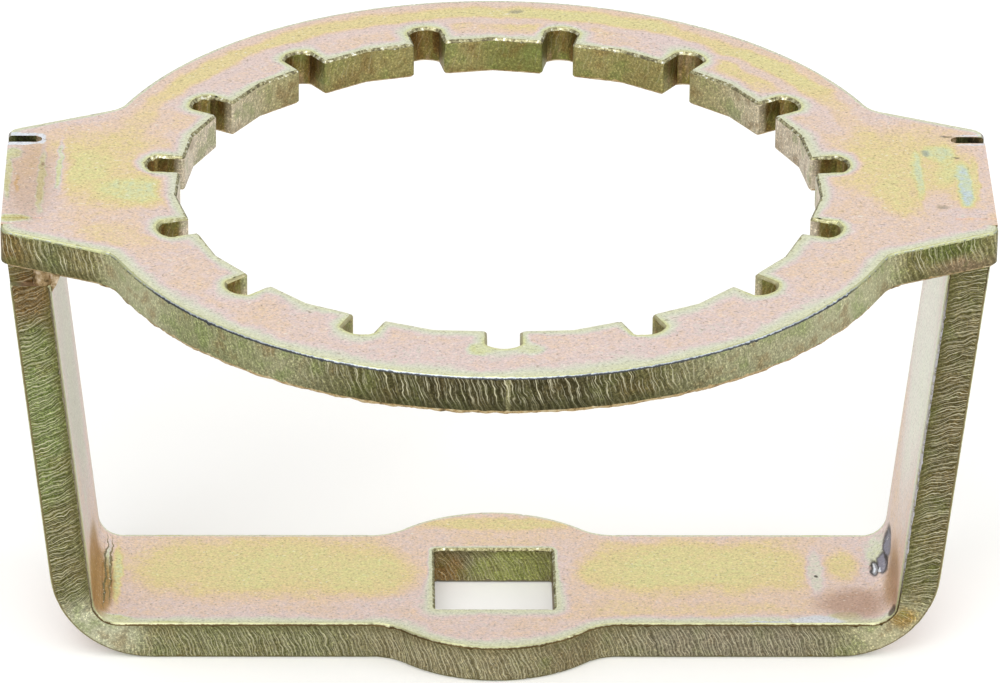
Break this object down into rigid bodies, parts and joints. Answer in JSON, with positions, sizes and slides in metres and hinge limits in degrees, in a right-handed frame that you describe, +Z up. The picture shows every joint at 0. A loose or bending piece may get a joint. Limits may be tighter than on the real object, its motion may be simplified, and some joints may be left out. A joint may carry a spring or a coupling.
{
  "type": "oil filter cap wrench",
  "caption": "Flat fluted ring wrench welded to a bent strap yoke with a square drive hole, for turning a filter cap.",
  "frame": {"origin": "centre of the square drive hole, on the plane that the strap rests on", "axes": "+X along the strap towards the right ear, -Y towards the front flute, +Z up to the ring"},
  "size_m": [0.1548, 0.13, 0.0785],
  "materials": {
    "ring_plating": "hot-rolled steel plate, flame cut, zinc plated with a yellow iridescent chromate",
    "yoke_plating": "hot-rolled steel plate, flame cut, zinc plated with a yellow iridescent chromate",
    "weld_plating": "weld metal, ground flush on top, plated with the plates"
  },
  "bodies": {
    "root": {"ring_plate": "ring_plating", "yoke": "yoke_plating", "weld_left": "weld_plating", "weld_right": "weld_plating"}
  },
  "joints": []
}
